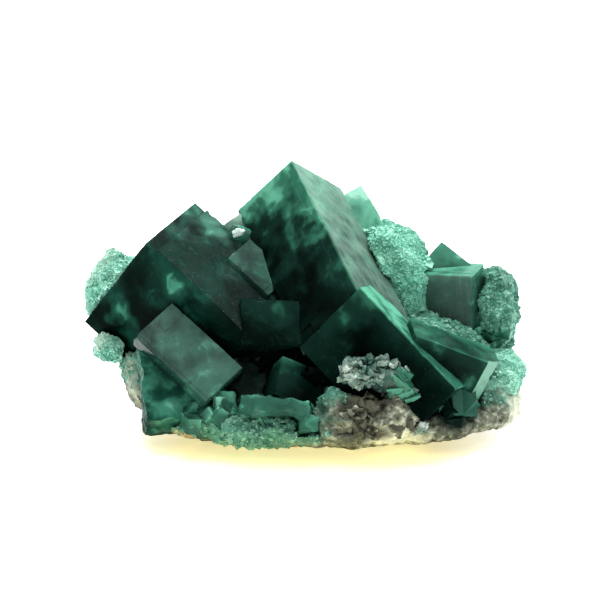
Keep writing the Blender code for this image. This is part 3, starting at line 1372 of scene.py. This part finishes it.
@dataclass
class DruseCrust:
    """A crust of tiny crystals over one lump of the frame."""

    node: str
    finish: DruseFinish
    sugar: Sugar
    rim_from: float = 0.55
    voxel: float = 0.45 * MM
    swell: float = 1.0 * MM
    inset: float = 0.0
    lump_grain: float = 3.6 * MM
    rim_grain: float = 3.0 * MM

    def rim(self, points: np.ndarray) -> np.ndarray:
        """Say how far each point is out on the specimen's lit rim.

        Args:
            points: Points on the crust.

        Returns:
            A value of 0 to 1 for each point.
        """
        low, high = (np.array(corner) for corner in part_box(self.node))
        middle = (low + high) / 2
        out = middle * np.array((1.0, 0.6, 0.0))
        out = out / np.linalg.norm(out) + np.array((0.0, 0.0, 0.75))
        out /= np.linalg.norm(out)
        reach = (points - middle) @ out / ((high - low) @ np.abs(out) / 2)
        patchy = 0.16 * rough_noise(points, self.rim_grain, self.sugar.seed + 2)
        return np.clip((reach + patchy - self.rim_from) / (1.05 - self.rim_from), 0, 1)

    def build(self) -> bpy.types.Object:
        """Roughen the lump, strew it with tiny crystals and dress it.

        Returns:
            The finished piece.
        """
        base = remeshed(self.node, self.voxel)
        points, normals = mesh_points(base), mesh_normals(base)
        lumps = rough_noise(points, self.lump_grain, self.sugar.seed, 3)
        set_points(base, points + normals * (self.swell * (lumps - 0.25) - self.inset)[:, None])
        count = int(area_of(base) * self.sugar.density)
        places, outward = scatter(base, np.random.default_rng(self.sugar.seed + 1), count)
        cubes, cube_faces, tints = self.sugar.strew(places, outward)
        lump = mesh_points(base)
        lump_faces = [tuple(face.vertices) for face in base.polygons]
        faces = lump_faces + (cube_faces + len(lump)).tolist()
        everything = np.concatenate([lump, cubes])
        low, high = (np.array(corner) for corner in CAD_BOX)
        everything = np.clip(everything, low, high + (high - low) * 0.01)
        piece = new_object(f"{self.node}_sugar", everything, faces)
        tint = np.concatenate([np.full(len(lump), 0.4), np.repeat(tints, 8)])
        set_layer(piece.data, "tint", tint)
        rim = np.concatenate([self.rim(lump), np.repeat(self.rim(places), 8)])
        set_layer(piece.data, "rim", rim)
        piece.data.materials.append(self.finish.material(self.node))
        shade(piece, DRUSE_CREASE)
        claim(piece, self.node)
        return piece


@dataclass(frozen=True)
class Stain:
    """A region of the rock with its own colour or with painted shade: a ragged oval, its sizes in
    millimetres.

    Its layer is one of the rock's films or stains, or painted shade; `bare` only keeps the green
    crust away.
    """

    layer: str
    centre: Triple
    half: Triple
    amount: float = 1.0

    def share(self, points: np.ndarray, ragged: np.ndarray) -> np.ndarray:
        """Say how strongly the stain takes at each point.

        Args:
            points: Points in metres.
            ragged: Noise that breaks up the border.

        Returns:
            A value of 0 to 1 for each point.
        """
        away = np.linalg.norm((points / MM - np.array(self.centre)) / np.array(self.half), axis=1)
        return self.amount * np.clip((1.0 - away + 0.45 * ragged) * 2.5, 0, 1)


@dataclass
class MatrixRock:
    """The granular rock, taken from its node and roughened."""

    finish: RockFinish
    stains: tuple[Stain, ...]
    seed: int = 71
    voxel: float = 0.42 * MM
    coarse: float = 0.85 * MM
    fine: float = 0.75 * MM
    hollow: float = 1.6 * MM
    coarse_grain: float = 4.2 * MM
    fine_grain: float = 2.2 * MM
    hollow_grain: float = 1.8 * MM
    stain_grain: float = 4.5 * MM

    def build(self) -> bpy.types.Object:
        """Remesh, roughen and dress the rock.

        Returns:
            The finished piece.
        """
        mesh = remeshed("matrix", self.voxel)
        points, normals = mesh_points(mesh), mesh_normals(mesh)
        swell = self.coarse * rough_noise(points, self.coarse_grain, self.seed, 3)
        ridges = np.abs(rough_noise(points, self.fine_grain, self.seed + 5, 3))
        swell += self.fine * (0.5 - ridges * 2.4)
        for stain in self.stains:
            if stain.layer == "brown":
                ragged = rough_noise(points, self.hollow_grain, self.seed + 9, 3)
                swell -= self.hollow * stain.share(points, ragged)
        foot = np.clip(points[:, 2] / (1.2 * MM), 0, 1)
        moved = points + normals * (swell * foot + 0.15 * MM)[:, None]
        low, high = (np.array(corner) for corner in CAD_BOX)
        moved = np.clip(moved, low, high)
        set_points(mesh, moved)
        piece = bpy.data.objects.new("matrix_rock", mesh)
        bpy.context.scene.collection.objects.link(piece)
        self.stain(mesh, moved)
        mesh.materials.append(self.finish.material("matrix_rock"))
        shade(piece, ROCK_CREASE)
        claim(piece, "matrix")
        return piece

    def stain(self, mesh: bpy.types.Mesh, points: np.ndarray) -> None:
        """Store where each film, stain and painted shade lies.

        Args:
            mesh: The rock's mesh.
            points: Its points.
        """
        ragged = rough_noise(points, self.stain_grain, self.seed + 20, 4)
        height = points[:, 2] / MM
        layers = {name: np.zeros(len(points)) for name in ("crust", "deep", "cream", "brown",
                                                           "rust")}
        layers["crust"] = np.clip((height - 7.0) / 4.0 + 1.2 * ragged, 0, 1)
        for stain in self.stains:
            share = stain.share(points, ragged)
            if stain.layer != "bare":
                layers[stain.layer] = np.maximum(layers[stain.layer], share)
            if stain.layer != "crust":
                layers["crust"] = np.minimum(layers["crust"], 1 - share)
        for name, values in layers.items():
            set_layer(mesh, name, values)


@dataclass
class RockSugar:
    """The tiny crystals that grew straight on the rock, where its green film is."""

    finish: DruseFinish
    sugar: Sugar
    rock: bpy.types.Object

    def build(self) -> bpy.types.Object:
        """Strew the rock's green parts and dress the piece.

        Returns:
            The finished piece.
        """
        mesh = self.rock.data
        random = np.random.default_rng(self.sugar.seed + 1)
        places, outward = scatter(mesh, random, int(area_of(mesh) * self.sugar.density))
        tree = KDTree(len(mesh.vertices))
        for vertex in mesh.vertices:
            tree.insert(vertex.co, vertex.index)
        tree.balance()
        crust = np.empty(len(mesh.vertices), np.float32)
        mesh.attributes["crust"].data.foreach_get("value", crust)
        here = np.array([crust[tree.find(place)[1]] for place in places])
        keep = here > random.uniform(0.25, 0.9, len(places))
        points, faces, tints = self.sugar.strew(places[keep], outward[keep])
        points[:, 2] = np.maximum(points[:, 2], FLOOR_GAP)
        piece = new_object("matrix_sugar", points, faces)
        set_layer(piece.data, "tint", np.repeat(tints, 8))
        set_layer(piece.data, "rim", np.zeros(len(points)))
        piece.data.materials.append(self.finish.material("matrix_sugar"))
        shade(piece, DRUSE_CREASE)
        claim(piece, "matrix")
        return piece


# ---------------------------------------------------------------------------
# Studio
# ---------------------------------------------------------------------------


@dataclass
class Studio:
    """The plain floor, the soft light and the camera."""

    floor_size: float = 3.0
    camera_distance: float = 0.42
    camera_rise: float = 18.0
    camera_lens: float = 140.0
    floor_glow: float = 0.72
    # A painted yellowish pool of light on the floor around the specimen's foot: its tone, half
    # sizes and shift to the front
    light_pool_tone: Colour = (1.0, 0.88, 0.48)
    light_pool_half: Span = (0.034, 0.020)
    light_pool_forward: float = 0.019
    lamp_place: Triple = (0.05, 0.20, 0.60)
    lamp_size: float = 0.50
    lamp_power: float = 6.0
    sky_lean: Triple = (0.30, 0.55, 0.80)
    sky_low: float = 0.22
    sky_high: float = 1.0
    look_at: Triple = (-1.2 * MM, -4.6 * MM, 23.0 * MM)

    def build(self) -> None:
        """Set up the whole stage."""
        self.floor()
        self.sky()
        self.lamp("top_softbox", self.lamp_place, self.lamp_size, self.lamp_power)
        self.camera()
        bpy.context.scene.view_settings.view_transform = "Standard"

    def floor(self) -> None:
        """Lay a plain pale floor, with a painted yellowish pool of light around the specimen's
        foot.
        """
        side = self.floor_size
        corners = np.array([
            (-side, -side, 0), (side, -side, 0), (side, side, 0), (-side, side, 0)], float)
        plane = new_object("floor", corners, [(0, 1, 2, 3)])
        graph = Graph("floor")
        oval = graph.node("ShaderNodeVectorMath", operation="MULTIPLY_ADD")
        graph.feed(oval.inputs[0], graph.place)
        wide, deep = self.light_pool_half
        oval.inputs[1].default_value = (1 / wide, 1 / deep, 0.0)
        oval.inputs[2].default_value = (0.0, self.light_pool_forward / deep, 0.0)
        away = graph.node("ShaderNodeVectorMath", operation="LENGTH")
        graph.feed(away.inputs[0], oval.outputs[0])
        # Painted light: a yellowish pool around the foot, in the floor's colour and in its glow
        light_pool = graph.between(away.outputs["Value"], 1.25, 0.55)
        tone = graph.mix(light_pool, (1.0, 1.0, 1.0), self.light_pool_tone)
        plane.data.materials.append(graph.finish(
            Base_Color=tone, Roughness=0.7, Emission_Color=tone, Emission_Strength=self.floor_glow))

    def sky(self) -> None:
        """Surround the stage with soft light, brightest above and behind."""
        world = bpy.data.worlds.new("studio")
        bpy.context.scene.world = world
        world.use_nodes = True
        tree = world.node_tree
        place = tree.nodes.new("ShaderNodeTexCoord")
        lean = tree.nodes.new("ShaderNodeVectorMath")
        lean.operation = "DOT_PRODUCT"
        tree.links.new(place.outputs["Generated"], lean.inputs[0])
        lean.inputs[1].default_value = self.sky_lean
        fade = tree.nodes.new("ShaderNodeMapRange")
        fade.interpolation_type = "SMOOTHSTEP"
        tree.links.new(lean.outputs["Value"], fade.inputs["Value"])
        fade.inputs["From Min"].default_value = -0.35
        fade.inputs["From Max"].default_value = 0.65
        fade.inputs["To Min"].default_value = self.sky_low
        fade.inputs["To Max"].default_value = self.sky_high
        tree.links.new(fade.outputs["Result"], tree.nodes["Background"].inputs["Strength"])
        tree.nodes["Background"].inputs["Color"].default_value = (1, 1, 1, 1)

    def lamp(self, name: str, place: Triple, size: float, power: float) -> None:
        """Hang one softbox that faces the specimen.

        Args:
            name: The lamp's name.
            place: Where it hangs.
            size: The side of its square.
            power: Its power in watts.
        """
        data = bpy.data.lights.new(name, "AREA")
        data.size, data.energy = size, power
        lamp = bpy.data.objects.new(name, data)
        lamp.location = place
        aim = Vector(self.look_at) - Vector(place)
        lamp.rotation_euler = aim.to_track_quat("-Z", "Y").to_euler()
        bpy.context.scene.collection.objects.link(lamp)

    def camera(self) -> None:
        """Place the camera at the display side, a little above it."""
        data = bpy.data.cameras.new("camera")
        data.lens, data.sensor_width = self.camera_lens, 36.0
        data.clip_start, data.clip_end = 0.01, 20.0
        camera = bpy.data.objects.new("camera", data)
        rise = math.radians(self.camera_rise)
        back = Vector((0, -math.cos(rise), math.sin(rise)))
        camera.location = Vector(self.look_at) + back * self.camera_distance
        camera.rotation_euler = (math.pi / 2 - rise, 0, 0)
        bpy.context.scene.collection.objects.link(camera)
        bpy.context.scene.camera = camera


# Directions that name a crystal's faces in the row's frame
TALL_LEFT = (-0.6, -0.6, 0.5)
TALL_RIGHT = (0.7, -0.1, 0.7)
LEFT_UPPER = (0.5, -0.4, 0.75)
LEFT_BACK_EDGE = (-0.7, 0.25, 0.6)
UP_FRONT = (0.0, -0.7, 0.7)
FRONT = (0.0, -1.0, 0.1)
RIGHT_STRIP = (0.7, 0.0, 0.7)
RIGHT = (1.0, 0.2, -0.3)
UP = (0.0, 0.0, 1.0)


def crystals() -> list[CrystalPiece]:
    """List every crystal with its own finish and growth.

    Returns:
        The crystals, ready to build.
    """
    ridge_step = Notch(LEFT_UPPER, LEFT_BACK_EDGE, 2.6 * MM, 0.8 * MM, satin=0.5)
    band_step = Notch(TALL_LEFT, (0.3, -0.8, -0.5), 4.0 * MM, 0.35 * MM, start=(-0.7, 0.1, -0.7),
                      span=(0, 3.6))
    lost_corner = Notch(FRONT, (-0.7, 0.0, -0.7), 7.0 * MM, 10.4 * MM, start=(0.7, -0.3, -0.6),
                        span=(0, 8.0))
    low_bevel = Notch(FRONT, RIGHT, 2.6 * MM, 2.0 * MM, sloped=True, satin=1.0, lit=0.60)
    tall_spots = (
        Spot((-2.5, 9.0, 44.0), 24.0, 0.43), Spot((-9.5, 11.5, 37.5), 9.0, 0.40),
        Spot((-7.0, 10.5, 39.0), 9.0, 0.12),
        Spot((5.5, -9.5, 31.5), 6.0, 0.20), Spot((0.5, -1.5, 35.0), 7.0, 0.14),
        Spot((-4.0, 2.0, 33.0), 7.0, 0.10),
    )
    left_spots = (
        Spot((-18.5, 4.0, 36.0), 9.0, 0.36), Spot((-14.0, 3.0, 32.5), 8.0, 0.36),
        Spot((-23.0, -2.5, 35.5), 5.0, 0.20),
        Spot((-11.5, -1.5, 28.5), 7.0, 0.22), Spot((-33.5, -3.5, 22.0), 5.0, 0.34),
        Spot((-34.0, -3.0, 19.0), 4.0, 0.24),
        Spot((-23.5, -10.0, 26.5), 4.0, 0.30), Spot((-32.0, -3.5, 16.5), 5.0, 0.20),
        Spot((-28.0, -7.0, 23.5), 5.0, 0.12),
    )
    right_spots = (
        Spot((9.5, -17.8, 27.5), 7.0, 0.24), Spot((4.0, -17.5, 24.5), 5.0, 0.12),
        Spot((15.0, -18.0, 22.0), 5.0, 0.12),
    )
    low_spots = (Spot((27.8, -17.5, 8.0), 6.5, 0.55), Spot((23.2, -19.6, 18.5), 2.4, 0.3))
    front_spots = (
        Spot((-16.0, -18.5, 13.5), 7.0, 0.20), Spot((-22.0, -14.5, 19.0), 6.0, 0.12),
        Spot((-25.5, -12.0, 20.5), 5.0, 0.25),
    )
    lower_spots = (Spot((-27.0, -16.0, 12.0), 7.0, 0.30), Spot((-24.0, -19.5, 6.0), 7.0, 0.30))
    return [
        CrystalPiece("crystal_tall", Fluorite.DARK, 11, satin=(TALL_RIGHT,), striped=(TALL_RIGHT,),
                     bright=((TALL_RIGHT, 0.32),), notches=(band_step,), spots=tall_spots,
                     inner=0.03, edge_light=0.35),
        CrystalPiece("crystal_left", Fluorite.DEEP, 12, satin=(LEFT_UPPER,), notches=(ridge_step,),
                     spots=left_spots, satin_share=0.74, edge_light=0.20, deep_light=0.08),
        CrystalPiece("crystal_right", Fluorite.DARK, 13, bright=((RIGHT_STRIP, 0.82),),
                     notches=(lost_corner,),
                     spots=right_spots, reach=1.9 * MM, edge_light=0.42, deep_light=0.15),
        CrystalPiece("crystal_front_left", Fluorite.MID, 14, satin=(UP_FRONT,), satin_share=0.60,
                     spots=front_spots, edge_light=0.2, deep_light=0.1),
        CrystalPiece("crystal_lower_left", Fluorite.DEEP, 15, inner=0.20, edge_light=0.4,
                     spots=lower_spots, broken=0.7 * MM),
        CrystalPiece("crystal_right_low", Fluorite.DARK, 16, bright=((UP, 0.36),),
                     notches=(low_bevel,), spots=low_spots, edge_light=0.45, deep_light=0.2),
        CrystalPiece("crystal_right_foot", Fluorite.DEEP, 17, inner=0.1),
        CrystalPiece("crystal_saddle", Fluorite.MID, 18, satin=(LEFT_UPPER,), satin_share=0.4,
                     inner=0.02, edge_light=0.25, deep_light=0.15),
        CrystalPiece("crystal_centre", Fluorite.DARK, 19, edge_light=0.2,
                     inner=-0.06, spots=(Spot((-4.2, -11.2, 22.7), 3.2, 0.28),)),
        CrystalPiece("crystal_centre_low", Fluorite.DARK, 20, edge_light=0.3),
        CrystalPiece("crystal_upper_right", Fluorite.MID, 21, satin=(FRONT,), striped=(FRONT,),
                     satin_share=0.9, bright=((UP, 0.5),), edge_light=0.5, inner=0.10),
        CrystalPiece("crystal_ridge_right", Fluorite.MID, 22, edge_light=0.5),
        CrystalPiece("crystal_behind_tall", Fluorite.MINT, 23, inner=0.25),
        CrystalPiece("crystal_cleaved", Fluorite.GRANULAR, 24, broken=1.2 * MM, inner=-0.1,
                     edge_light=0.4, deep_light=0.2, spacing=0.3 * MM),
        CrystalPiece("crystal_base_long", Fluorite.MID, 25, broken=0.8 * MM, edge_light=0.5),
        CrystalPiece("crystal_base_block", Fluorite.MID, 26, broken=0.6 * MM, edge_light=0.5),
        CrystalPiece("crystal_base_cube", Fluorite.MID, 27, edge_light=0.4, broken=0.3 * MM),
        CrystalPiece("crystal_base_small", Fluorite.MID, 28, broken=0.7 * MM, edge_light=0.5),
        CrystalPiece("crystal_base_bead", Fluorite.GRANULAR, 29, broken=1.0 * MM, inner=0.1,
                     spacing=0.3 * MM),
        CrystalPiece("plate_saddle", Fluorite.MINT, 30, plates=1, inner=-0.7, edge_light=0.5,
                     broken=0.3 * MM),
        CrystalPiece("sliver_saddle", Fluorite.PALE, 31, plates=1, inner=-0.35, broken=0.3 * MM),
        *(CrystalPiece(f"crystal_back_{name}", finish, seed) for seed, (name, finish) in enumerate(
            (("left", Fluorite.DEEP), ("middle", Fluorite.DEEP), ("right", Fluorite.MID),
             ("low", Fluorite.MID), ("small", Fluorite.MID)), start=32)),
    ]


def clusters() -> list[CrystalCluster]:
    """List the groups of small crystals between the large ones.

    Returns:
        The groups, ready to build.
    """
    dark, deep, mid, mint, granular = (
        Fluorite.DARK, Fluorite.DEEP, Fluorite.MID, Fluorite.MINT, Fluorite.GRANULAR)
    return [
        CrystalCluster("hollow_crystals", "matrix", dark, 61, (-7, -8, 11), (8, 4, 6), 22,
                       (3.5, 7.0), edge_light=0.05),
        CrystalCluster("front_crystals", "matrix", mid, 62, (-9, -19.5, 5.5), (12, 3, 3.5), 60,
                       (1.2, 3.8), broken=0.3),
        CrystalCluster("lower_crystals", "matrix", deep, 63, (-16, -16.8, 5), (9, 3, 2.6), 34,
                       (2.2, 4.6), broken=0.3),
        CrystalCluster("bottom_layers", "matrix", mid, 69, (-2, -18.6, 3.8), (10, 2.5, 1.8), 46,
                       (1.5, 3.4), stretch=2.6, inner=0.08, broken=0.4),
        CrystalCluster("right_hollow_crystals", "matrix", dark, 64, (3, -12, 11), (4, 4, 5), 12,
                       (3.5, 6.0), edge_light=0.05),
        CrystalCluster("right_blades", "matrix", mint, 65, (21, 6, 17), (5, 5, 3), 20, (1.0, 3.0)),
        CrystalCluster("crest_crystals", "druse_right", mint, 75, (21.5, 11.5, 23.5), (3.2, 3, 2.8),
                       60, (0.8, 2.2), broken=0.4),
        CrystalCluster("far_dark_crystals", "druse_far_right", deep, 66, (33.5, 1.0, 13.5),
                       (3.5, 3, 4), 26, (1.5, 3.2), inner=0.1),
        CrystalCluster("knob_grains", "matrix", Fluorite.EARTHY, 67, (12.5, -23.6, 8.0),
                       (7.0, 2.5, 4.4), 200, (0.6, 2.2), broken=0.8, edge_light=0.3),
        CrystalCluster("cleaved_grains", "crystal_cleaved", granular, 70, (11.5, -22.5, 15.5),
                       (6.5, 2.0, 3.0), 170, (0.6, 2.0), broken=0.7, edge_light=0.5, inner=0.16),
        CrystalCluster("cleaved_block", "crystal_cleaved", mid, 72, (17.0, -22.6, 12.0),
                       (2.0, 1.0, 3.2), 16, (2.2, 4.2), broken=0.5, inner=0.08),
        CrystalCluster("foot_crystals", "matrix", dark, 68, (22.5, -18.2, 5.8), (5, 2.0, 2.4), 30,
                       (2.5, 4.5), edge_light=0.25),
        CrystalCluster("low_right_blocks", "matrix", mid, 74, (27.3, -17.6, 7.0), (0.8, 0.4, 0.8),
                       2, (4.4, 5.4), stretch=1.1, inner=0.14, edge_light=0.25),
        CrystalCluster("saddle_glints", "plate_saddle", Fluorite.PALE, 73, (-13.0, 2.3, 33.6),
                       (1.2, 0.4, 0.5), 5, (0.5, 1.3), inner=0.6),
    ]


def crusts() -> list[DruseCrust]:
    """List every crust of druse.

    Returns:
        The crusts, ready to build.
    """
    mint = DruseFinish(
        deep=(0.075, 0.310, 0.215), main=(0.160, 0.490, 0.360), pale=(0.330, 0.700, 0.540),
        rim=(0.42, 0.80, 0.65))
    light = DruseFinish(
        deep=(0.070, 0.290, 0.210), main=(0.170, 0.480, 0.360), pale=(0.420, 0.780, 0.610),
        rim=(0.90, 0.98, 0.86))
    teal = DruseFinish(
        deep=(0.020, 0.100, 0.070), main=(0.065, 0.240, 0.165), pale=(0.230, 0.560, 0.420),
        rim=(0.86, 0.98, 0.84))
    return [
        DruseCrust("druse_left", light, Sugar(51), rim_from=0.35, swell=1.5 * MM),
        DruseCrust("druse_under_left", light, Sugar(52), rim_from=0.2, swell=1.8 * MM,
                   inset=0.5 * MM),
        DruseCrust("druse_right", mint, Sugar(53), rim_from=0.9),
        DruseCrust("druse_far_right", teal, Sugar(54), swell=2.0 * MM),
        DruseCrust("druse_low_right", light, Sugar(55), swell=2.0 * MM),
        DruseCrust("druse_back", mint, Sugar(56), rim_from=0.75),
    ]


STAINS = (
    # Painted shade: near-black green in the hollow under the front crystals
    Stain("deep", (-8, -12, 10.5), (12, 11, 7.5), 1.0),
    Stain("cream", (-31, -10, 11), (4, 12, 8), 0.5),
    Stain("rust", (-24, -18, 2.8), (6, 6, 1.5), 0.9),
    Stain("bare", (13, -24, 8), (11, 9, 8), 1.0),
    Stain("cream", (16, -24, 4), (8, 8, 4.2), 0.80),
    # Painted shade: near-black green between the crystals at the right foot
    Stain("deep", (24.5, -17, 6), (8, 9, 5.5), 1.0),
    Stain("cream", (36, -8, 4.5), (9, 7, 5), 0.9),
    Stain("brown", (10, -25, 10.5), (5.0, 6, 3.4), 1.0),
    Stain("brown", (10, -25.5, 5.5), (5.0, 6, 2.4), 0.9),
    # Painted shadow: the brown line along the rock's right foot by the floor
    Stain("brown", (32, -10, 2), (4, 6, 2), 0.7),
    Stain("crust", (-8, -22, 5), (15, 6, 4.5), 0.85),
    Stain("crust", (-22, -17, 4.5), (9, 6, 3.2), 0.85),
)


def write_sizes() -> None:
    """Bring the view layer up to date."""
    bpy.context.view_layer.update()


def main() -> None:
    """Build every piece, then the stage."""
    logging.basicConfig(level=logging.INFO, format="%(name)s %(message)s")
    stone = RockFinish(
        grain_light=(0.44, 0.47, 0.38), grain_mid=(0.16, 0.18, 0.13),
        grain_dark=(0.045, 0.045, 0.030),
        # brown is the rock's own in the middle and a painted shadow at the right foot
        cream=(0.80, 0.84, 0.66), brown=(0.085, 0.085, 0.062), rust=(0.72, 0.52, 0.24),
        # deep is painted shade in the hollows under and between the crystals
        crust=(0.10, 0.32, 0.23), deep=(0.006, 0.020, 0.014),
    )
    rock = MatrixRock(stone, STAINS).build()
    film = DruseFinish(
        deep=(0.030, 0.130, 0.085), main=(0.090, 0.290, 0.205), pale=(0.280, 0.560, 0.430),
        rim=(0.4, 0.7, 0.6))
    RockSugar(film, Sugar(57, density=5.0), rock).build()
    for crystal in crystals():
        crystal.build()
    for crust in crusts():
        crust.build()
    for cluster in clusters():
        cluster.build()
    Studio().build()
    write_sizes()


if __name__ == "__main__":
    main()
